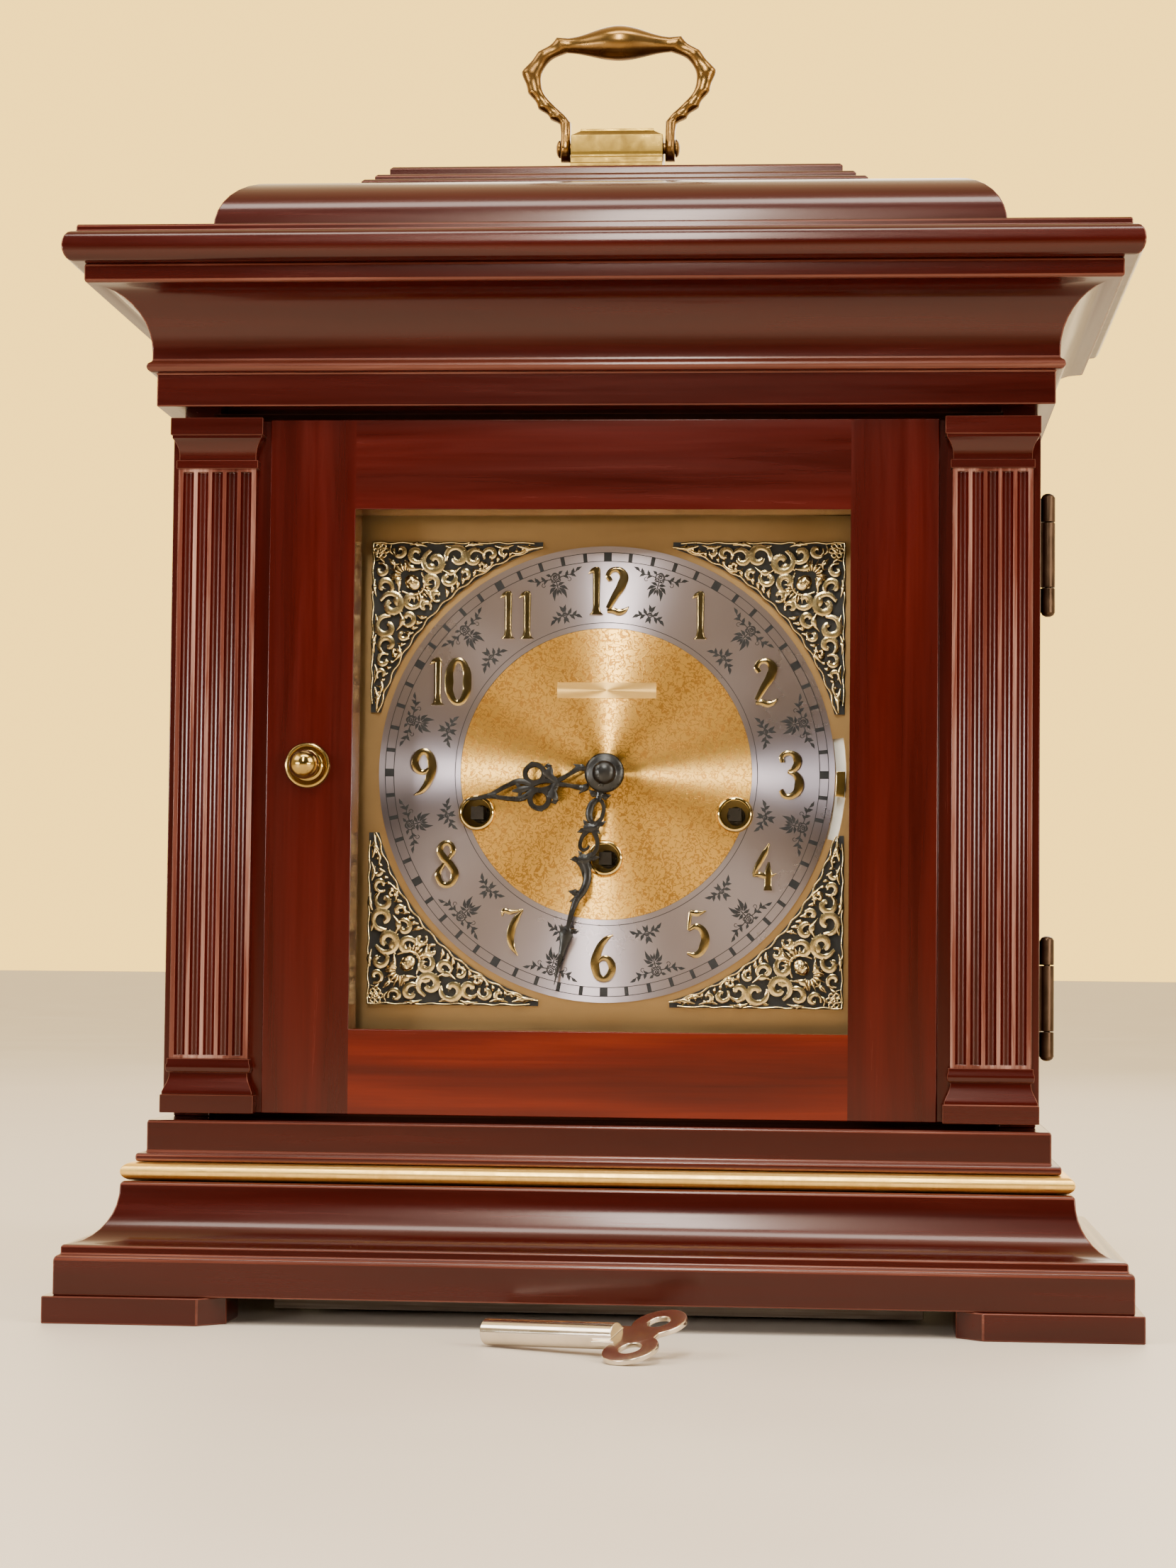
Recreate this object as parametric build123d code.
"""Key-wound, bell-top mantel clock: a moulded wooden case, a glazed front door, a chiming movement and its dial.

Frame, in millimetres: X to the right of the dial, Y from the front of the clock to its back, Z up.
X = 0 is the middle of the case, Y = 0 is halfway between the front of the feet and the flush back,
and Z = 0 is the surface that the clock stands on.

The three-sided mouldings are mitred, so one half width w gives both a side face (x = w) and the front face
that belongs to it (y = MITRE - w).
"""

import math
import os

from build123d import *

# ---------------------------------------------------------------- driving dimensions
FOOT_HALF = 171.5                    # half width over the feet
DEPTH = 182.0                        # front of the feet to the flush back
BACK = DEPTH / 2
MITRE = FOOT_HALF - DEPTH / 2        # front face of a moulding lies at MITRE - w

FOOT_H = 8.6
PLINTH_TOP = 43.4                    # top of the base moulding
NECK_TOP = 49.4                      # top of the neck that carries the gilt bead
FLOOR_TOP = 62.7                     # top of the stepped floor board
DOOR_BOTTOM, DOOR_TOP = 65.0, 290.4
FRIEZE_BOTTOM = 293.9
SLAB_BOTTOM, SLAB_TOP = 336.8, 349.0
DOME_TOP = 374.5
CAP_TOP = 384.8

BASE_INNER = 130.0                   # inside half width of the base moulding
NECK_HALF = 143.0
BOARD_TOP = 24.0                     # top of the bottom board
TOP_BOARD_T, RAIL_T = 12.0, 12.0
SIDE_OUT, SIDE_IN = 141.0, 129.0     # side panel faces
DOME_HALF, DOME_RADIUS = 130.5, 19.0

DOOR_HALF = 141.0
DOOR_FRONT, DOOR_BACK = -58.5, -39.7
CASE_FRONT = -39.2
FIELD_HALF = 108.5                   # the raised field between the pilasters
GROUND = -56.3                       # recessed ground that the pilasters stand on
APERTURE_HALF = 80.3
APERTURE_BOTTOM, APERTURE_TOP = 92.4, 261.0
GLASS_FRONT, GLASS_T = -45.6, 3.0

DIAL_Z = 177.0                       # height of the hand arbor
RING_OUT, RING_IN = 75.7, 48.4
DIAL_BACK = -27.0
PLATE_T, RING_T, DISC_T = 1.2, 0.8, 0.6
RING_FRONT = DIAL_BACK - PLATE_T - RING_T
WINDING = [(-42.8, -13.2), (42.8, -13.2), (0.0, -28.0)]
FERRULE_OUT, FERRULE_IN, FERRULE_NECK = 6.1, 4.5, 5.0
SLOT_R, SLOT_W = 77.6, 3.4
SLOT_UP, SLOT_DOWN = 9.0, 16.0       # degrees of the selector slot above and below the hand arbor
MINUTE_ANGLE, HOUR_ANGLE = 192.9, 258.7

FRONT_PLATE_Y, BACK_PLATE_Y, MOVEMENT_T = -12.0, 38.0, 1.6
PIVOT_GAP = 0.05                     # radial running clearance

HANDLE_PIVOT_Z = 393.5
HINGE_X, HINGE_Y, HINGE_R = 144.4, -39.45, 2.3
HINGE_CENTRES = [104.5, 248.5]
HINGE_LONG, HINGE_SHORT = 21.4, 8.0

HAMMERS = 8
HAMMER_PITCH, HAMMER_FIRST = 9.5, 4.0
HAMMER_AXLE_X, HAMMER_AXLE_Z = -52.0, 108.0
ROD_Z = 88.0

os.makedirs("parts", exist_ok=True)


# ---------------------------------------------------------------- helpers
def block(x0, x1, y0, y1, z0, z1):
    """A box between two corners."""
    return Pos((x0 + x1) / 2, (y0 + y1) / 2, (z0 + z1) / 2) * Box(x1 - x0, y1 - y0, z1 - z0)


def rod(start, end, radius):
    """A round bar from one point to another."""
    axis = Vector(*end) - Vector(*start)
    face = Plane(origin=start, z_dir=axis) * Circle(radius)
    return extrude(face, amount=axis.length)


def disc(x, z, y0, y1, radius):
    """A round disc facing the front, between two depths."""
    return rod((x, y1, z), (x, y0, z), radius)


def arc_points(cx, cz, radius, start, end, steps=8):
    """Points on a circular arc, angles in degrees."""
    turn = [math.radians(start + (end - start) * i / steps) for i in range(steps + 1)]
    return [(cx + radius * math.cos(a), cz + radius * math.sin(a)) for a in turn]


def front_face(points, y):
    """A flat face in the plane y, from (x, z) points."""
    ring = [Vector(x, y, z) for x, z in points]
    return make_face(Polyline(*ring, close=True))


def plate(points, y0, y1):
    """A flat plate facing the front, between two depths."""
    return extrude(front_face(points, y0), amount=y1 - y0, dir=(0, 1, 0))


def mitred(profile, back=BACK, both_ends=False):
    """A solid board whose front and side edges carry a moulding: (half width, height) points, bottom to top."""
    side = [(w, z) for w, z in profile] + [(-w, z) for w, z in reversed(profile)]
    across = plate(side, -2 * DEPTH, 2 * DEPTH)
    if both_ends:
        edge = [(MITRE - w, z) for w, z in profile] + [(w - MITRE, z) for w, z in reversed(profile)]
    else:
        edge = [(MITRE - w, z) for w, z in profile] + [(back, profile[-1][1]), (back, profile[0][1])]
    section = make_face(Polyline(*[Vector(-2 * DEPTH, y, z) for y, z in edge], close=True))
    along = extrude(section, amount=4 * DEPTH, dir=(1, 0, 0))
    return across & along


def hollow(solid, inner, z0, z1):
    """The same board with its middle cut away, open at the back."""
    return solid - block(-inner, inner, MITRE - inner, BACK + 1, z0 - 1, z1 + 1)


def mitre_split(solid, z0, z1):
    """The front length and the two returns of a three-sided moulding, cut at its mitres."""
    reach = 2 * DEPTH
    corner = [Vector(0, MITRE, z0 - 1), Vector(reach, MITRE - reach, z0 - 1), Vector(-reach, MITRE - reach, z0 - 1)]
    wedge = extrude(make_face(Polyline(*corner, close=True)), amount=z1 - z0 + 2, dir=(0, 0, 1))
    returns = solid - wedge
    left = returns & block(-reach, 0, -reach, reach, z0 - 1, z1 + 1)
    right = returns & block(0, reach, -reach, reach, z0 - 1, z1 + 1)
    return [solid & wedge, left, right]


def single(shape):
    """The one solid of a boolean result."""
    solids = shape.solids()
    return solids[0] if len(solids) == 1 else Compound(children=list(solids))


def group(solids):
    """Separate solids of one node."""
    return Compound(children=[s for shape in solids for s in shape.solids()])


def turned(points, origin, direction):
    """A solid of revolution from (radius, height) points about an axis."""
    outline = make_face(Polyline(*[Vector(r, 0, h) for r, h in points], close=True))
    return Plane(origin=origin, z_dir=direction) * revolve(outline, Axis.Z)


def toothed(teeth, module, y0, y1, bore, phase):
    """A spur wheel about the Y axis through the origin; phase is the angle of a tooth's middle, in degrees."""
    pitch_r = teeth * module / 2
    step = 360 / teeth
    outline = []
    for i in range(teeth):
        middle = phase + i * step
        for radius, offset in ((pitch_r - module, -0.24), (pitch_r + 0.7 * module, -0.11),
                               (pitch_r + 0.7 * module, 0.11), (pitch_r - module, 0.24)):
            turn = math.radians(middle + offset * step)
            outline.append((radius * math.cos(turn), radius * math.sin(turn)))
    wheel = plate(outline, y0, y1)
    return wheel - disc(0, 0, y0 - 1, y1 + 1, bore)


def hand_turn(shape, degrees):
    """Turns a hand drawn pointing at twelve clockwise to its place, and lifts it to the dial centre."""
    return Pos(0, 0, DIAL_Z) * Rot(0, degrees, 0) * shape


# ---------------------------------------------------------------- case
def make_feet():
    """Four bracket feet: mitred corners with bevelled inner ends."""
    length, width, bevel = 49.5, 28.0, 8.0
    h, f = FOOT_HALF, -BACK
    outline = [(-h, f), (-h + length, f), (-h + length + bevel, f + bevel), (-h + length + bevel, f + width),
               (-h + width, f + width), (-h + width, f + length + bevel), (-h + bevel, f + length + bevel),
               (-h, f + length)]
    feet = []
    for sx in (1, -1):
        for sy in (1, -1):
            ring = [Vector(sx * x, sy * y, 0) for x, y in outline]
            foot = extrude(make_face(Polyline(*ring, close=True)), amount=FOOT_H, dir=(0, 0, 1))
            feet.append(foot)
    return group(feet)


BASE_PROFILE = (
    [(168.6, FOOT_H), (168.6, 19.9), (168.0, 20.9), (166.7, 21.4), (166.7, 23.9), (165.9, 24.3)]
    + [(165.9 - 14.4 * math.sin(math.radians(a)), 41.9 - 17.6 * math.cos(math.radians(a)))
       for a in range(10, 91, 10)]
    + [(151.5, 42.6), (150.6, PLINTH_TOP)]
)


def make_base_moulding():
    """Plinth, cove and upper fascia of the base: a front length, two returns and a plain back rail."""
    ring = hollow(mitred(BASE_PROFILE), BASE_INNER, FOOT_H, PLINTH_TOP)
    rail = block(-BASE_INNER, BASE_INNER, BACK - RAIL_T, BACK, BOARD_TOP, PLINTH_TOP)
    return group(mitre_split(ring, FOOT_H, PLINTH_TOP) + [rail])


def make_base_board():
    """Bottom board inside the base moulding, with a rough batten under its front and back."""
    inner = BASE_INNER - 0.1
    board = block(-inner, inner, MITRE - inner, BACK, 12.0, BOARD_TOP)
    front = block(-105, 105, -49.0, -27.0, 1.5, 12.0)
    back = block(-105, 105, 50.0, 72.0, 1.5, 12.0)
    return single(board + front + back)


def make_gilt_bead():
    """Half-round gilt bead round the neck of the base, front and sides."""
    middle, half_h, reach = (PLINTH_TOP + NECK_TOP) / 2, 2.8, 3.6
    profile = [(148.0 + reach * math.cos(math.radians(a)), middle + half_h * math.sin(math.radians(a)))
               for a in range(-90, 91, 15)]
    return single(hollow(mitred(profile), NECK_HALF + 0.05, PLINTH_TOP, NECK_TOP))


def make_floor_board():
    """Stepped board that carries the case; its neck drops inside the gilt bead."""
    profile = [(NECK_HALF, PLINTH_TOP), (NECK_HALF, NECK_TOP), (147.0, NECK_TOP), (147.5, NECK_TOP + 0.5),
               (147.5, 51.6), (147.1, 52.1), (144.9, 52.3), (144.5, 52.7), (144.5, 62.2), (144.0, FLOOR_TOP)]
    return single(mitred(profile))


def make_side_panels():
    """The left and the right side of the case."""
    right = block(SIDE_IN, SIDE_OUT, CASE_FRONT, BACK, FLOOR_TOP, FRIEZE_BOTTOM)
    for centre in HINGE_CENTRES:
        half = HINGE_LONG / 2 + HINGE_SHORT
        right -= block(SIDE_IN - 1, SIDE_OUT + 1, CASE_FRONT - 1, CASE_FRONT + 1.2, centre - half, centre + half)
    left = block(-SIDE_OUT, -SIDE_IN, CASE_FRONT, BACK, FLOOR_TOP, FRIEZE_BOTTOM)
    return single(left), single(right)


def make_top_board():
    """Board inside the cornice that closes the top of the case, with the upper pivot hole of the back door."""
    board = block(-SIDE_IN + 0.1, SIDE_IN - 0.1, MITRE - SIDE_IN + 0.1, BACK,
                  FRIEZE_BOTTOM, FRIEZE_BOTTOM + TOP_BOARD_T)
    return single(board - rod((BACK_PIVOT_X, BACK_PIVOT_Y, FRIEZE_BOTTOM - 1),
                              (BACK_PIVOT_X, BACK_PIVOT_Y, FRIEZE_BOTTOM + 5), 1.5 + PIVOT_GAP))


CORNICE_PROFILE = (
    [(145.2, FRIEZE_BOTTOM), (145.2, 304.7)]
    + [(146.4 + 1.9 * math.cos(math.radians(a)), 306.6 + 1.8 * math.sin(math.radians(a)))
       for a in range(-75, 76, 30)]
    + [(146.6, 308.8)]
    + [(162.6 - 16.0 * math.cos(math.radians(a)), 311.2 + 19.4 * math.sin(math.radians(a)))
       for a in range(0, 91, 10)]
    + [(164.6, 330.7), (165.2, 331.3), (165.2, 336.3), (164.8, SLAB_BOTTOM)]
)


def make_cornice():
    """Frieze, bead, cove and upper fascia of the cornice: a front length, two returns and a plain back rail."""
    ring = hollow(mitred(CORNICE_PROFILE), SIDE_IN, FRIEZE_BOTTOM, SLAB_BOTTOM)
    rail = block(-SIDE_IN, SIDE_IN, BACK - RAIL_T, BACK, FRIEZE_BOTTOM + TOP_BOARD_T, SLAB_BOTTOM)
    return group(mitre_split(ring, FRIEZE_BOTTOM, SLAB_BOTTOM) + [rail])


def make_top_slab():
    """Top board with a bull-nosed front and sides."""
    nose = [(168.6 + 2.8 * math.cos(math.radians(a)), 341.7 + 4.8 * math.sin(math.radians(a)))
            for a in range(-80, 81, 20)]
    profile = [(167.6, SLAB_BOTTOM)] + nose + [(167.5, 346.7), (167.5, 348.6), (167.1, SLAB_TOP)]
    return single(mitred(profile))


def make_bell_top():
    """Quarter-round bell top, moulded on all four sides."""
    centre_w, centre_z = DOME_HALF - DOME_RADIUS, DOME_TOP - DOME_RADIUS
    shoulder = arc_points(centre_w, centre_z, DOME_RADIUS, 0, 90, 9)
    profile = [(DOME_HALF + 1.4, SLAB_TOP), (DOME_HALF + 1.4, SLAB_TOP + 2.6), (DOME_HALF, SLAB_TOP + 3.2)] + shoulder
    return single(mitred(profile, both_ends=True))


def make_cap_block():
    """Stepped cap under the handle: three plates in one block, with eased edges."""
    steps = [(85.5, 22.0, DOME_TOP, 378.6), (81.5, 18.0, 378.6, 381.2), (77.0, 13.5, 381.2, CAP_TOP)]
    cap = None
    for half_x, half_y, z0, z1 in steps:
        tier = block(-half_x, half_x, -half_y, half_y, z0, z1)
        tier = chamfer(tier.faces().sort_by(Axis.Z)[-1].edges(), 0.9)
        cap = tier if cap is None else cap + tier
    return single(cap)


# ---------------------------------------------------------------- handle
BRACKET_HALF = 15.7
LEG_IN, LEG_OUT = 16.3, 19.6
TRUNNION_R = 1.9


def make_handle_bracket():
    """Brass bracket on the cap, with a moulded foot, a chamfered top and a headed trunnion on each side."""
    b = BRACKET_HALF
    profile = [(8.4, CAP_TOP), (8.4, 386.6), (7.9, 387.1), (7.9, 388.7), (7.3, 389.4), (7.3, 390.4), (7.6, 391.0),
               (7.6, 396.6), (6.8, 397.2), (5.6, 398.4), (5.6, 399.2)]
    section = [(y, z) for y, z in profile] + [(-y, z) for y, z in reversed(profile)]
    face = make_face(Polyline(*[Vector(-b, y, z) for y, z in section], close=True))
    body = extrude(face, amount=2 * b, dir=(1, 0, 0))
    ends = [(b, CAP_TOP), (b, 396.6), (12.6, 398.4), (12.4, 399.2)]
    trim = plate([(x, z) for x, z in ends] + [(-x, z) for x, z in reversed(ends)], -12, 12)
    body = body & trim
    for s in (-1, 1):
        head = [(0, 0), (3.1, 0), (3.1, 0.5), (2.4, 1.1), (1.2, 1.5), (0, 1.6)]
        body += rod((s * (b - 2), 0, HANDLE_PIVOT_Z), (s * (LEG_OUT + 0.2), 0, HANDLE_PIVOT_Z), TRUNNION_R)
        body += turned(head, (s * (LEG_OUT + 0.15), 0, HANDLE_PIVOT_Z), (s, 0, 0))
    return single(body)


def make_carry_handle():
    """Bail handle: two scalloped arms with drilled legs, joined by a spindle-shaped grip."""
    tips = [(22.2, 432.5), (28.4, 426.9), (33.6, 420.3), (31.0, 412.9), (27.2, 407.5), (22.6, 403.8)]
    outer = [(15.8, 432.3)]
    for (x0, z0), (x1, z1) in zip(tips, tips[1:]):
        outer.append((x0, z0))
        outer.append(((x0 + x1) / 2 - 0.9, (z0 + z1) / 2 + (0.9 if z0 < 421 else -0.9) * 0.6))
    outer += [tips[-1], (19.9, 401.2), (LEG_OUT, 399.0), (LEG_OUT, 388.9)]
    inner = [(LEG_IN, 388.9), (LEG_IN, 402.1), (17.9, 404.9), (22.2, 409.0), (25.2, 413.4), (26.8, 417.8),
             (25.6, 422.2), (22.2, 425.8), (18.0, 427.2), (15.8, 427.0)]
    arm = plate(outer + inner, -3.0, 3.0)
    leg_trim = rod((LEG_IN - 1, 0, HANDLE_PIVOT_Z), (LEG_OUT + 1, 0, HANDLE_PIVOT_Z), 4.6)
    low = block(LEG_IN - 1, LEG_OUT + 1, -5, 5, 385, HANDLE_PIVOT_Z)
    arm = arm - (low - leg_trim)
    arm -= rod((LEG_IN - 1, 0, HANDLE_PIVOT_Z), (LEG_OUT + 1, 0, HANDLE_PIVOT_Z), TRUNNION_R + PIVOT_GAP)
    length, r_end, r_mid, axis_z = 18.0, 2.7, 6.0, 430.3
    swell = [(r_end + (r_mid - r_end) * 0.5 * (1 + math.cos(math.pi * t / 6)), length * t / 6) for t in range(7)]
    half = [(0, 0)] + [(r, h) for r, h in swell] + [(0, length)]
    grip = turned(half, (0, 0, axis_z), (1, 0, 0)) + turned(half, (0, 0, axis_z), (-1, 0, 0))
    return single(arm + mirror(arm, Plane.YZ) + grip)


# ---------------------------------------------------------------- front door
def make_door_frame():
    """Frame with a raised field, a rebate for the glass and mortises for the hinge leaves."""
    body = block(-DOOR_HALF, DOOR_HALF, DOOR_FRONT, DOOR_BACK, DOOR_BOTTOM, DOOR_TOP)
    for s in (-1, 1):
        edge = sorted((s * FIELD_HALF, s * (DOOR_HALF + 1)))
        body -= block(edge[0], edge[1], DOOR_FRONT - 1, GROUND, DOOR_BOTTOM - 1, DOOR_TOP + 1)
    body -= block(-APERTURE_HALF, APERTURE_HALF, DOOR_FRONT - 1, DOOR_BACK + 1, APERTURE_BOTTOM, APERTURE_TOP)
    body -= block(-APERTURE_HALF - 5, APERTURE_HALF + 5, GLASS_FRONT, DOOR_BACK + 1,
                  APERTURE_BOTTOM - 5, APERTURE_TOP + 5)
    for centre in HINGE_CENTRES:
        half = HINGE_LONG / 2 + HINGE_SHORT
        body -= block(LEAF_IN, DOOR_HALF + 1, DOOR_BACK - LEAF_T, DOOR_BACK + 1, centre - half, centre + half)
    return single(body)


def make_door_glass():
    """Flat glass in the rebate."""
    edge = APERTURE_HALF + 4.7
    return block(-edge, edge, GLASS_FRONT + 0.05, GLASS_FRONT + GLASS_T, APERTURE_BOTTOM - 4.7, APERTURE_TOP + 4.7)


def make_glass_stops():
    """Four strips pinned behind the glass."""
    y0, y1 = GLASS_FRONT + GLASS_T + 0.05, DOOR_BACK - 0.2
    out, inn = APERTURE_HALF + 4.8, APERTURE_HALF + 0.4
    low, low_in = APERTURE_BOTTOM - 4.8, APERTURE_BOTTOM - 0.4
    top, top_in = APERTURE_TOP + 4.8, APERTURE_TOP + 0.4
    return group([block(-out, out, y0, y1, low, low_in), block(-out, out, y0, y1, top_in, top),
                  block(-out, -inn, y0, y1, low_in, top_in), block(inn, out, y0, y1, low_in, top_in)])


PILASTER_X = 125.5                   # middle of each pilaster
SHAFT_HALF, SHAFT_FRONT = 12.8, -61.0
SHAFT_BOTTOM, SHAFT_TOP = 82.4, 274.0
FLUTES, FLUTE_PITCH, FLUTE_R = 5, 4.75, 1.75


def make_pilaster_shafts():
    """The two fluted shafts."""
    shafts = []
    for s in (-1, 1):
        x = s * PILASTER_X
        shaft = block(x - SHAFT_HALF, x + SHAFT_HALF, SHAFT_FRONT, GROUND, SHAFT_BOTTOM, SHAFT_TOP)
        for i in range(FLUTES):
            fx = x + (i - (FLUTES - 1) / 2) * FLUTE_PITCH
            shaft -= rod((fx, SHAFT_FRONT, SHAFT_BOTTOM + 1), (fx, SHAFT_FRONT, SHAFT_TOP - 1), FLUTE_R)
        shafts.append(shaft)
    return group(shafts)


def pilaster_stack(tiers):
    """Blocks stacked on both pilasters: (half width, front, bottom, top)."""
    stacks = []
    for s in (-1, 1):
        stack = None
        for half, front, z0, z1 in tiers:
            tier = block(s * PILASTER_X - half, s * PILASTER_X + half, front, GROUND, z0, z1)
            stack = tier if stack is None else stack + tier
        stacks.append(stack)
    return group(stacks)


def make_pilaster_blocks():
    """Capital (neck band, hollow and abacus) and base (block, torus and band) of each pilaster."""
    capital = [(13.4, -61.8, SHAFT_TOP, 277.0), (12.6, -60.8, 277.0, 278.4), (13.0, -61.2, 278.4, 280.2),
               (13.6, -61.8, 280.2, 281.8), (14.2, -62.5, 281.8, 283.6), (14.9, -63.2, 283.6, 285.2),
               (15.2, -63.4, 285.2, DOOR_TOP)]
    base = [(15.2, -63.4, DOOR_BOTTOM, 71.0), (14.8, -63.0, 71.0, 72.8), (14.2, -62.4, 72.8, 74.2),
            (13.4, -61.6, 74.2, 75.4), (12.7, -60.9, 75.4, 78.4), (13.6, -62.0, 78.4, SHAFT_BOTTOM)]
    return group([pilaster_stack(capital), pilaster_stack(base)])


KNOB_X, KNOB_Z = -94.8, 177.5


def make_knob_rosette():
    """Dished rose under the knob."""
    outline = [(0, 0), (7.4, 0), (7.4, 1.0), (6.8, 1.6), (5.2, 1.6), (4.4, 1.1), (0, 1.1)]
    return single(turned(outline, (KNOB_X, DOOR_FRONT, KNOB_Z), (0, -1, 0)))


def make_door_knob():
    """Small turned knob on a waisted neck."""
    ball = [(4.8 * math.sin(math.radians(a)), 7.6 - 4.8 * math.cos(math.radians(a))) for a in range(30, 181, 15)]
    outline = [(0, 1.1), (3.2, 1.1), (2.2, 2.2), (2.0, 3.0)] + ball
    return single(turned(outline, (KNOB_X, DOOR_FRONT, KNOB_Z), (0, -1, 0)))


LEAF_T, LEAF_IN = 1.2, 129.5


def make_hinges():
    """Two butt hinges: the case leaves carry the pins and end knuckles, the door leaves the long middle knuckle."""
    case_leaves, door_leaves = [], []
    gap, pin_r = 0.12, 1.0
    for centre in HINGE_CENTRES:
        mid, end = HINGE_LONG / 2, HINGE_LONG / 2 + HINGE_SHORT
        leaf = block(LEAF_IN, 141.3, CASE_FRONT, CASE_FRONT + LEAF_T, centre - end + 0.1, centre + end - 0.1)
        for s in (-1, 1):
            z0, z1 = sorted((centre + s * (mid + gap), centre + s * end))
            leaf += block(141.0, HINGE_X, CASE_FRONT, CASE_FRONT + LEAF_T, z0, z1 - 0.1)
            leaf += rod((HINGE_X, HINGE_Y, z0), (HINGE_X, HINGE_Y, z1), HINGE_R)
            dome = [(0, 0), (HINGE_R, 0), (HINGE_R * 0.8, 0.9), (HINGE_R * 0.4, 1.4), (0, 1.5)]
            leaf += turned(dome, (HINGE_X, HINGE_Y, centre + s * end), (0, 0, s))
        leaf += rod((HINGE_X, HINGE_Y, centre - end), (HINGE_X, HINGE_Y, centre + end), pin_r)
        case_leaves.append(leaf)
        swing = block(LEAF_IN, 141.3, DOOR_BACK - LEAF_T, DOOR_BACK, centre - end + 0.1, centre + end - 0.1)
        swing += block(141.0, HINGE_X, DOOR_BACK - LEAF_T, DOOR_BACK, centre - mid + gap, centre + mid - gap)
        knuckle = rod((HINGE_X, HINGE_Y, centre - mid + gap), (HINGE_X, HINGE_Y, centre + mid - gap), HINGE_R)
        swing += knuckle
        swing -= rod((HINGE_X, HINGE_Y, centre - end - 2), (HINGE_X, HINGE_Y, centre + end + 2), pin_r + PIVOT_GAP)
        door_leaves.append(swing)
    return group(case_leaves), group(door_leaves)


# ---------------------------------------------------------------- back door
BACK_DOOR_HALF, BACK_DOOR_FRONT = 127.9, 84.5
BACK_PIVOT_X, BACK_PIVOT_Y = -123.0, 87.5


def make_back_door():
    """Thin access door with sound slots, a finger hole and a pivot pin at each end of its left edge."""
    z0, z1 = FLOOR_TOP + 0.6, FRIEZE_BOTTOM - 0.6
    door = block(-BACK_DOOR_HALF, BACK_DOOR_HALF, BACK_DOOR_FRONT, BACK_DOOR_FRONT + 6, z0, z1)
    for i in range(9):
        x = (i - 4) * 14.0
        slot = block(x - 2.5, x + 2.5, BACK_DOOR_FRONT - 1, BACK_DOOR_FRONT + 7, 105, 175)
        door -= slot
    door -= rod((104, BACK_DOOR_FRONT - 1, 240), (104, BACK_DOOR_FRONT + 7, 240), 9.0)
    door += rod((BACK_PIVOT_X, BACK_PIVOT_Y, FLOOR_TOP - 3.5), (BACK_PIVOT_X, BACK_PIVOT_Y, z0 + 1), 1.5)
    door += rod((BACK_PIVOT_X, BACK_PIVOT_Y, z1 - 1), (BACK_PIVOT_X, BACK_PIVOT_Y, FRIEZE_BOTTOM + 3.5), 1.5)
    return single(door)


# ---------------------------------------------------------------- dial
def winding_holes(shape, radius):
    """Cuts the three winding holes through a dial piece."""
    for x, z in WINDING:
        shape -= disc(x, DIAL_Z + z, DIAL_BACK - 5, DIAL_BACK + 12, radius)
    return shape


def selector_slot(y0, y1, width):
    """Curved slot for the chime selector, concentric with the dial."""
    half = width / 2
    outer = arc_points(0, DIAL_Z, SLOT_R + half, -SLOT_DOWN, SLOT_UP, 8)
    inner = arc_points(0, DIAL_Z, SLOT_R - half, SLOT_UP, -SLOT_DOWN, 8)
    return plate(outer + inner, y0, y1)


def make_dial_surround():
    """Wooden board that the dial is screwed to, open in the middle for the movement."""
    board = block(-SIDE_IN + 0.1, SIDE_IN - 0.1, DIAL_BACK, DIAL_BACK + 8, FLOOR_TOP, FRIEZE_BOTTOM)
    return single(board - block(-81.5, 81.5, DIAL_BACK - 1, DIAL_BACK + 9, DIAL_Z - 84, DIAL_Z + 84))


def make_dial_plate():
    """Brass back plate of the dial."""
    sheet = block(-90, 90, DIAL_BACK - PLATE_T, DIAL_BACK, 83, 271)
    sheet = winding_holes(sheet, FERRULE_NECK + 0.05)
    sheet -= disc(0, DIAL_Z, DIAL_BACK - 5, DIAL_BACK + 5, 4.0)
    return single(sheet - selector_slot(DIAL_BACK - 5, DIAL_BACK + 5, SLOT_W))


def make_chapter_ring():
    """Silvered ring that carries the minute track."""
    y0, y1 = RING_FRONT, DIAL_BACK - PLATE_T
    ring = disc(0, DIAL_Z, y0, y1, RING_OUT) - disc(0, DIAL_Z, y0 - 1, y1 + 1, RING_IN)
    return single(winding_holes(ring, FERRULE_NECK + 0.05))


def make_dial_centre():
    """Gilt disc inside the chapter ring."""
    y0, y1 = DIAL_BACK - PLATE_T - DISC_T, DIAL_BACK - PLATE_T
    centre = disc(0, DIAL_Z, y0, y1, RING_IN - 0.1) - disc(0, DIAL_Z, y0 - 1, y1 + 1, 4.0)
    return single(winding_holes(centre, FERRULE_NECK + 0.05))


def make_winding_ferrules():
    """Three brass ferrules that line the winding holes."""
    rings = []
    for x, z in WINDING:
        y0, y1 = RING_FRONT - 1.0, RING_FRONT
        flange = disc(x, DIAL_Z + z, y0, y1, FERRULE_OUT)
        neck = disc(x, DIAL_Z + z, y1, DIAL_BACK, FERRULE_NECK)
        rings.append(flange + neck - disc(x, DIAL_Z + z, y0 - 1, DIAL_BACK + 1, FERRULE_IN))
    return group(rings)


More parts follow.
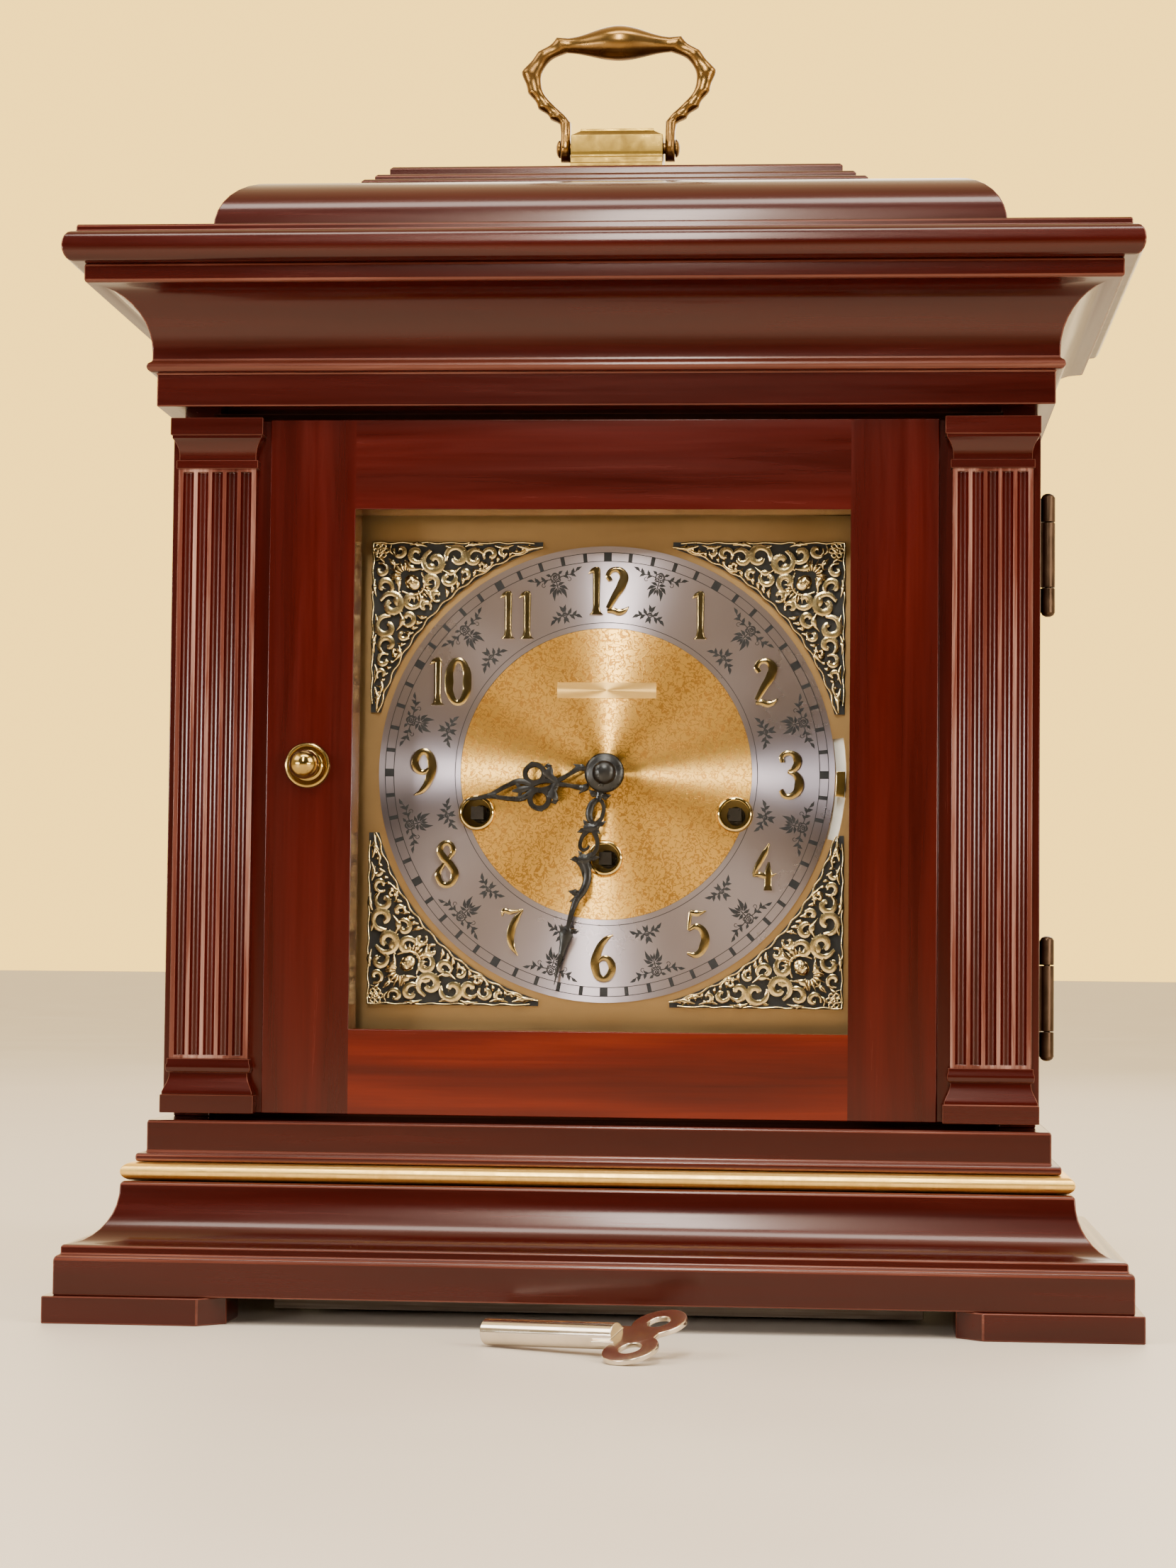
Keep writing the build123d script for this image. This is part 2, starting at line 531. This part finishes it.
def make_corner_spandrels():
    """Four cast corner pieces that follow the chapter ring."""
    corner_x, corner_z, arm = 78.7, 77.0, 57.0
    y1 = DIAL_BACK - PLATE_T
    casting = block(-corner_x, -corner_x + arm, y1 - 1.8, y1, DIAL_Z + corner_z - arm, DIAL_Z + corner_z)
    casting -= disc(0, DIAL_Z, y1 - 3, y1 + 1, 78.0)
    casting = casting.solids().sort_by(SortBy.VOLUME)[-1]
    right = mirror(casting, Plane.YZ)
    flip = Plane(origin=(0, 0, DIAL_Z), z_dir=(0, 0, 1))
    # the selector slot runs past the lower tip of the upper right casting and the upper tip of the lower right one
    clear = selector_slot(y1 - 3, y1 + 1, SLOT_W + 1)
    low_left, low_right = mirror(casting, flip), mirror(right, flip)
    castings = [casting, right - clear, low_left, low_right - clear]
    return group([c.solids().sort_by(SortBy.VOLUME)[-1] for c in castings])


NUMERAL_STROKES = {
    "0": [[(-0.5, 0.35), (-0.5, -0.35)], [(0.5, 0.35), (0.5, -0.35)], [(-0.5, 1), (0.5, 1)], [(-0.5, -1), (0.5, -1)]],
    "1": [[(0, 1), (0, -1)]],
    "2": [[(-0.5, 1), (0.5, 1)], [(0.5, 1), (0.5, 0.2)], [(0.5, 0.2), (-0.5, -1)], [(-0.5, -1), (0.5, -1)]],
    "3": [[(-0.5, 1), (0.5, 1)], [(0.5, 1), (0, 0.2)], [(0, 0.2), (0.5, -0.3)], [(0.5, -0.3), (0.5, -1)],
          [(0.5, -1), (-0.5, -1)]],
    "4": [[(0, 1), (-0.5, -0.4)], [(-0.5, -0.4), (0.5, -0.4)], [(0.15, 0.2), (0.15, -1)]],
    "5": [[(0.5, 1), (-0.5, 1)], [(-0.5, 1), (-0.5, 0.2)], [(-0.5, 0.2), (0.5, 0.2)], [(0.5, 0.2), (0.5, -1)],
          [(0.5, -1), (-0.5, -1)]],
    "6": [[(0.5, 1), (-0.5, 0)], [(-0.5, 0), (-0.5, -1)], [(-0.5, -1), (0.5, -1)], [(0.5, -1), (0.5, 0)],
          [(0.5, 0), (-0.5, 0)]],
    "7": [[(-0.5, 1), (0.5, 1)], [(0.5, 1), (0, -1)]],
    "8": [[(-0.5, 1), (0.5, 1)], [(0.5, 1), (-0.5, -1)], [(-0.5, -1), (0.5, -1)], [(0.5, -1), (-0.5, 1)]],
    "9": [[(-0.5, -1), (0.5, 0)], [(0.5, 0), (0.5, 1)], [(0.5, 1), (-0.5, 1)], [(-0.5, 1), (-0.5, 0)],
          [(-0.5, 0), (0.5, 0)]],
}
NUMERAL_R, NUMERAL_HALF_H, NUMERAL_HALF_W = 60.8, 6.9, 3.0
NUMERAL_T, STROKE = 0.8, 1.9


def make_hour_numerals():
    """Applied upright numerals, one to twelve, made of flat strokes."""
    y0, y1 = RING_FRONT - NUMERAL_T, RING_FRONT
    digits = []
    for hour in range(1, 13):
        turn = math.radians(30 * hour)
        cx, cz = NUMERAL_R * math.sin(turn), DIAL_Z + NUMERAL_R * math.cos(turn)
        text = str(hour)
        for i, figure in enumerate(text):
            dx = (i - (len(text) - 1) / 2) * 6.2
            digit = None
            for (ax, az), (bx, bz) in NUMERAL_STROKES[figure]:
                a = (cx + dx + ax * 2 * NUMERAL_HALF_W * 0.75, cz + az * NUMERAL_HALF_H)
                b = (cx + dx + bx * 2 * NUMERAL_HALF_W * 0.75, cz + bz * NUMERAL_HALF_H)
                run, rise = b[0] - a[0], b[1] - a[1]
                length = math.hypot(run, rise)
                ux, uz = run / length * STROKE / 2, rise / length * STROKE / 2
                bar = plate([(a[0] - ux - uz, a[1] - uz + ux), (b[0] + ux - uz, b[1] + uz + ux),
                             (b[0] + ux + uz, b[1] + uz - ux), (a[0] - ux + uz, a[1] - uz - ux)], y0, y1)
                digit = bar if digit is None else digit + bar
            digits.append(digit)
    return group(digits)


# ---------------------------------------------------------------- hands and motion work
HOUR_Y = (-32.4, -31.6)
MINUTE_Y = (-34.6, -33.8)
CANNON_R, PIPE_IN, PIPE_OUT = 2.1, 2.15, 3.0
PINION_Y, MINUTE_WHEEL_Y = (-20.4, -18.0), (-20.2, -19.0)
HOUR_WHEEL_Y, MINUTE_PINION_Y = (-23.6, -22.4), (-24.4, -21.0)
MODULE_A, MODULE_B = 0.5, 0.48       # cannon pinion pair 12:36, minute pinion pair 10:40
WHEEL_X = (12 + 36) / 2 * MODULE_A   # distance of the minute wheel's stud


def make_minute_hand():
    """Slender pierced minute hand, drawn upright and turned to its place."""
    outline = [(-3.6, -3.6), (3.6, -3.6), (4.0, 3.0), (2.2, 6.5), (3.4, 12.0), (1.6, 17.5), (4.0, 21.5), (1.6, 26.0),
               (3.4, 30.0), (1.1, 35.5), (2.6, 40.0), (0.9, 45.0), (1.4, 55.0), (0.5, 72.0), (-0.5, 72.0),
               (-1.4, 55.0), (-0.9, 45.0), (-2.6, 40.0), (-1.1, 35.5), (-3.4, 30.0), (-1.6, 26.0), (-4.0, 21.5),
               (-1.6, 17.5), (-3.4, 12.0), (-2.2, 6.5), (-4.0, 3.0)]
    blade = plate(outline, *MINUTE_Y) + disc(0, 0, *MINUTE_Y, 4.6)
    blade -= disc(0, 0, MINUTE_Y[0] - 1, MINUTE_Y[1] + 1, CANNON_R)
    return single(hand_turn(blade, MINUTE_ANGLE))


def make_hour_hand():
    """Trefoil hour hand on its bush."""
    outline = [(-3.6, -3.6), (3.6, -3.6), (3.4, 4.0), (1.6, 9.0), (2.2, 13.0), (6.8, 15.5), (6.8, 21.5), (3.2, 25.5),
               (1.4, 30.0), (2.6, 36.0), (1.0, 41.0), (0.4, 48.0), (-0.4, 48.0), (-1.0, 41.0), (-2.6, 36.0),
               (-1.4, 30.0), (-3.2, 25.5), (-6.8, 21.5), (-6.8, 15.5), (-2.2, 13.0), (-1.6, 9.0), (-3.4, 4.0)]
    blade = plate(outline, *HOUR_Y) + disc(0, 0, *HOUR_Y, 5.0)
    blade -= disc(0, 0, HOUR_Y[0] - 1, HOUR_Y[1] + 1, PIPE_OUT)
    return single(hand_turn(blade, HOUR_ANGLE))


def make_hour_wheel():
    """Hour wheel and pipe; the pipe turns on the cannon and carries the hour hand."""
    wheel = toothed(40, MODULE_B, *HOUR_WHEEL_Y, CANNON_R, 4.5)
    pipe = disc(0, 0, HOUR_Y[0], HOUR_WHEEL_Y[1], PIPE_OUT)
    bore = disc(0, 0, HOUR_Y[0] - 1, HOUR_WHEEL_Y[1] + 1, PIPE_IN)
    return single(Pos(0, 0, DIAL_Z) * (wheel + pipe - bore))


def make_centre_arbor():
    """Centre arbor with its cannon and twelve-leaf pinion."""
    arbor = disc(0, 0, -36.4, BACK_PLATE_Y + 4, 1.5) + disc(0, 0, MINUTE_Y[0], PINION_Y[1], CANNON_R)
    pinion = toothed(12, MODULE_A, *PINION_Y, 1.0, 0.0)
    return single(Pos(0, 0, DIAL_Z) * (arbor + pinion))


def make_minute_wheel():
    """Minute wheel and pinion on a stud beside the centre arbor."""
    wheel = toothed(36, MODULE_A, *MINUTE_WHEEL_Y, 1.0, 5.0)
    pinion = toothed(10, MODULE_B, *MINUTE_PINION_Y, 1.0, 0.0)
    hub = disc(0, 0, MINUTE_PINION_Y[0], MINUTE_WHEEL_Y[1] + 0.6, 1.9)
    bore = disc(0, 0, MINUTE_PINION_Y[0] - 1, MINUTE_WHEEL_Y[1] + 2, 1.0 + PIVOT_GAP)
    return single(Pos(WHEEL_X, 0, DIAL_Z) * (wheel + pinion + hub - bore))


def make_hand_nut():
    """Domed nut over the hands."""
    outline = [(1.55, 0), (6.6, 0), (6.6, 0.7), (5.9, 2.0), (4.3, 3.2), (2.2, 3.9), (0, 4.1), (0, 1.9), (1.55, 1.9)]
    return single(turned(outline, (0, MINUTE_Y[0], DIAL_Z), (0, -1, 0)))


# ---------------------------------------------------------------- movement
PLATE_HALF, PLATE_LOW, PLATE_HIGH = 62.0, DIAL_Z - 52, DIAL_Z + 48
PILLARS = [(-55, -44), (55, -44), (-55, 40), (55, 40)]
ARBOR_R, SQUARE = 3.0, 4.2


def make_movement_plates():
    """Front plate with its motion-work stud and selector boss, and back plate."""
    low, high = PLATE_LOW, PLATE_HIGH
    plates = []
    for y0 in (FRONT_PLATE_Y, BACK_PLATE_Y):
        sheet = block(-PLATE_HALF, PLATE_HALF, y0, y0 + MOVEMENT_T, low, high)
        for x, z in WINDING:
            sheet -= disc(x, DIAL_Z + z, y0 - 1, y0 + 5, ARBOR_R + PIVOT_GAP)
        sheet -= disc(0, DIAL_Z, y0 - 5, y0 + 5, 1.5 + PIVOT_GAP)
        plates.append(sheet)
    front, back = plates
    boss = disc(0, DIAL_Z, -16.6, FRONT_PLATE_Y, 6.0) - disc(0, DIAL_Z, -17, FRONT_PLATE_Y + 1, 2.3)
    front += boss + disc(WHEEL_X, DIAL_Z, -24.8, FRONT_PLATE_Y + 0.5, 1.0)
    return single(front), single(back)


def make_plate_pillars():
    """Four turned pillars between the plates."""
    pillars = []
    for x, z in PILLARS:
        y0, y1 = FRONT_PLATE_Y + MOVEMENT_T, BACK_PLATE_Y
        post = disc(x, DIAL_Z + z, y0, y1, 3.0)
        post += disc(x, DIAL_Z + z, y0, y0 + 4, 4.2) + disc(x, DIAL_Z + z, y1 - 4, y1, 4.2)
        pillars.append(post)
    return group(pillars)


def make_spring_barrels():
    """Three mainspring barrels, each open round its winding arbor."""
    barrels = []
    for x, z in WINDING:
        drum = disc(x, DIAL_Z + z, -4, 32, 20.5) + disc(x, DIAL_Z + z, 28, 30, 21.6)
        barrels.append(drum - disc(x, DIAL_Z + z, -5, 33, ARBOR_R + 0.08))
    return group(barrels)


def make_winding_arbor(x, z):
    """Winding arbor with a squared front end for the key."""
    arbor = disc(x, DIAL_Z + z, -17, BACK_PLATE_Y + 5, ARBOR_R)
    half = SQUARE / 2
    arbor += block(x - half, x + half, -27.6, -17, DIAL_Z + z - half, DIAL_Z + z + half)
    return single(arbor)


def make_seat_board():
    """Wooden board between the case sides that the movement stands on, cut back for the back door."""
    return block(-SIDE_IN + 0.1, SIDE_IN - 0.1, -11.5, 44, PLATE_LOW - 10, PLATE_LOW)


SELECTOR_Y = (-15.6, -14.4)
SELECTOR_RISE = 28.0                  # slope of the lever's bar, clear of the minute wheel's stud


def make_selector_lever():
    """Chime selector: a bent lever round the centre boss, with a tab that stands through the dial slot."""
    ring = disc(0, 0, *SELECTOR_Y, 9.0)
    up = math.radians(SELECTOR_RISE)
    top = SELECTOR_RISE + 2.0
    along, across = (math.cos(up), math.sin(up)), (-math.sin(up) * 2.4, math.cos(up) * 2.4)
    far = 66.0
    bar = plate([(-across[0], -across[1]), (along[0] * far - across[0], along[1] * far - across[1]),
                 (along[0] * far + across[0], along[1] * far + across[1]), (across[0], across[1])], *SELECTOR_Y)
    arc = plate(arc_points(0, 0, 68.0, -4.6, top, 10) + arc_points(0, 0, 63.5, top, -4.6, 10), *SELECTOR_Y)
    foot = plate(arc_points(0, 0, SLOT_R + 1.2, -4.6, 0.0, 4) + arc_points(0, 0, 66.0, 0.0, -4.6, 4), *SELECTOR_Y)
    post = plate(arc_points(0, 0, SLOT_R + 1.1, -4.2, -0.4, 4) + arc_points(0, 0, SLOT_R - 1.1, -0.4, -4.2, 4),
                 -30.4, SELECTOR_Y[1])
    tab = plate(arc_points(0, 0, SLOT_R + 1.5, -5.4, 0.8, 6) + arc_points(0, 0, SLOT_R - 1.5, 0.8, -5.4, 6),
                -31.4, -30.4)
    lever = ring + bar + arc + foot + post + tab
    lever -= disc(0, 0, SELECTOR_Y[0] - 1, SELECTOR_Y[1] + 1, 6.0 + PIVOT_GAP)
    return single(Pos(0, 0, DIAL_Z) * lever)


BALANCE_Y, BALANCE_Z = 58.0, 212.0


def make_balance_frame():
    """Bracket on the back plate that holds the balance staff."""
    y0 = BACK_PLATE_Y + MOVEMENT_T
    frame = block(-6, 6, y0, y0 + 2, BALANCE_Z - 18, BALANCE_Z + 12)
    for z in (BALANCE_Z - 18, BALANCE_Z + 10):
        frame += block(-4, 4, y0, BALANCE_Y + 4, z, z + 2)
    frame -= rod((0, BALANCE_Y, BALANCE_Z - 19), (0, BALANCE_Y, BALANCE_Z + 13), 0.8 + PIVOT_GAP)
    return single(frame)


def make_balance_wheel():
    """Balance rim with two spokes on its upright staff."""
    rim = Pos(0, BALANCE_Y, BALANCE_Z - 3) * (Cylinder(13.5, 2.4) - Cylinder(11.5, 3))
    spoke = Pos(0, BALANCE_Y, BALANCE_Z - 3) * (Box(25, 2.4, 1.6))
    staff = rod((0, BALANCE_Y, BALANCE_Z - 17.6), (0, BALANCE_Y, BALANCE_Z + 11.6), 0.8)
    hub = rod((0, BALANCE_Y, BALANCE_Z - 8), (0, BALANCE_Y, BALANCE_Z + 2), 2.2)
    return single(rim + spoke + staff + hub)


# ---------------------------------------------------------------- chime
def hammer_y(i):
    """Depth of a hammer and of its rod."""
    return HAMMER_FIRST + i * HAMMER_PITCH


def make_chime_block():
    """Cast block on the case floor that clamps the chime rods."""
    body = block(-121, -101, -6, 80, FLOOR_TOP, ROD_Z + 8)
    for i in range(HAMMERS):
        body -= rod((-122, hammer_y(i), ROD_Z), (-100, hammer_y(i), ROD_Z), 1.1)
    return single(body)


def make_chime_rods():
    """Steel rods of stepped length, fixed in the block."""
    return group([rod((-120.5, hammer_y(i), ROD_Z), (104 - 7 * i, hammer_y(i), ROD_Z), 1.1) for i in range(HAMMERS)])


def make_hammer_frame():
    """Two hangers under the seat board with the hammer axle between them."""
    ends = (-1.6, hammer_y(HAMMERS - 1) + 4.4)
    frame = rod((HAMMER_AXLE_X, ends[0], HAMMER_AXLE_Z), (HAMMER_AXLE_X, ends[1], HAMMER_AXLE_Z), 1.5)
    x0, x1 = HAMMER_AXLE_X - 5, HAMMER_AXLE_X + 5
    frame += block(x0, x1, -4, -1.4, HAMMER_AXLE_Z - 4, PLATE_LOW - 10)
    frame += block(x0, x1, ends[1] - 0.4, ends[1] + 2, HAMMER_AXLE_Z - 4, PLATE_LOW - 7)
    frame += block(x0, x1, 44.1, ends[1] + 2, PLATE_LOW - 10, PLATE_LOW - 7)
    frame += block(x0, x1, 44.1, 46.1, PLATE_LOW - 10, PLATE_LOW)
    return single(frame)


def make_hammer(i):
    """Chime hammer: a hub on the axle, an arm and a drum-shaped head over its rod."""
    y, x = hammer_y(i), HAMMER_AXLE_X
    hub = rod((x, y - 2.6, HAMMER_AXLE_Z), (x, y + 2.6, HAMMER_AXLE_Z), 3.4)
    arm = block(x - 32, x - 2, y - 1.0, y + 1.0, HAMMER_AXLE_Z - 1.4, HAMMER_AXLE_Z - 0.2)
    head = rod((x - 32, y, ROD_Z + 1.1 + 3.2), (x - 32, y, HAMMER_AXLE_Z + 1.0), 3.4)
    bore = rod((x, y - 4, HAMMER_AXLE_Z), (x, y + 4, HAMMER_AXLE_Z), 1.5 + PIVOT_GAP)
    return single(hub + arm + head - bore)


# ---------------------------------------------------------------- winding key
KEY_START, KEY_TURN = (-27.0, -126.0, 4.0), -28.0
KEY_TUBE_R, KEY_TUBE_L = 4.0, 46.0
KEY_PITCH, KEY_ROLL = 2.4, 20.0


def make_winding_key():
    """Winding key lying in front of the clock: a socketed tube and a two-lobed head."""
    tube = Plane(origin=(0, 0, 0), z_dir=(1, 0, 0)) * Cylinder(KEY_TUBE_R, KEY_TUBE_L, align=(Align.CENTER,
                                                                                             Align.CENTER, Align.MIN))
    half = SQUARE / 2 + 0.1
    tube -= block(-1, 16, -half, half, -half, half)
    lobe_r, lobe_off, head_x, thick = 8.4, 8.8, KEY_TUBE_L + 9.5, 1.6
    head = block(KEY_TUBE_L - 6, head_x + 4, -5.5, 5.5, -thick / 2, thick / 2)
    for s in (-1, 1):
        lobe = Pos(head_x, s * lobe_off, 0) * Cylinder(lobe_r, thick)
        head += lobe
    for s in (-1, 1):
        head -= Pos(head_x, s * lobe_off, 0) * Cylinder(3.4, thick + 2)
    key = Rot(KEY_ROLL, 0, 0) * (tube + head)
    key = Rot(0, -KEY_PITCH, 0) * key
    key = Pos(*KEY_START) * Rot(0, 0, KEY_TURN) * key
    return single(Pos(0, 0, -key.bounding_box().min.Z) * key)


# ---------------------------------------------------------------- write every node
def write_all():
    """Builds every node and writes one STEP file each."""
    side_left, side_right = make_side_panels()
    case_leaves, door_leaves = make_hinges()
    front_plate, back_plate = make_movement_plates()
    floor = make_floor_board() - rod((BACK_PIVOT_X, BACK_PIVOT_Y, FLOOR_TOP - 5),
                                     (BACK_PIVOT_X, BACK_PIVOT_Y, FLOOR_TOP + 1), 1.5 + PIVOT_GAP)
    nodes = {
        "bracket_feet": make_feet(), "base_moulding": make_base_moulding(), "base_board": make_base_board(),
        "gilt_bead": make_gilt_bead(), "floor_board": floor, "side_panel_left": side_left,
        "side_panel_right": side_right, "top_board": make_top_board(), "cornice": make_cornice(),
        "top_slab": make_top_slab(), "bell_top": make_bell_top(), "cap_block": make_cap_block(),
        "handle_bracket": make_handle_bracket(), "carry_handle": make_carry_handle(),
        "door_frame": make_door_frame(), "door_glass": make_door_glass(), "glass_stops": make_glass_stops(),
        "pilaster_shafts": make_pilaster_shafts(), "pilaster_blocks": make_pilaster_blocks(),
        "knob_rosette": make_knob_rosette(), "door_knob": make_door_knob(),
        "hinge_case_leaves": case_leaves, "hinge_door_leaves": door_leaves, "back_door": make_back_door(),
        "dial_surround": make_dial_surround(), "dial_plate": make_dial_plate(), "chapter_ring": make_chapter_ring(),
        "dial_centre": make_dial_centre(), "winding_ferrules": make_winding_ferrules(),
        "corner_spandrels": make_corner_spandrels(), "hour_numerals": make_hour_numerals(),
        "minute_hand": make_minute_hand(), "hour_hand": make_hour_hand(), "hour_wheel": make_hour_wheel(),
        "centre_arbor": make_centre_arbor(), "minute_wheel": make_minute_wheel(), "hand_nut": make_hand_nut(),
        "front_plate": front_plate, "back_plate": back_plate, "plate_pillars": make_plate_pillars(),
        "spring_barrels": make_spring_barrels(), "seat_board": make_seat_board(),
        "selector_lever": make_selector_lever(), "balance_frame": make_balance_frame(),
        "balance_wheel": make_balance_wheel(), "chime_block": make_chime_block(), "chime_rods": make_chime_rods(),
        "hammer_frame": make_hammer_frame(), "winding_key": make_winding_key(),
    }
    for name, (x, z) in zip(("chime", "strike", "time"), WINDING):
        nodes["winding_arbor_" + name] = make_winding_arbor(x, z)
    for i in range(HAMMERS):
        nodes[f"hammer_{i + 1}"] = make_hammer(i)
    for name, shape in nodes.items():
        export_step(shape, f"parts/{name}.step")
    print(len(nodes), "nodes")


write_all()
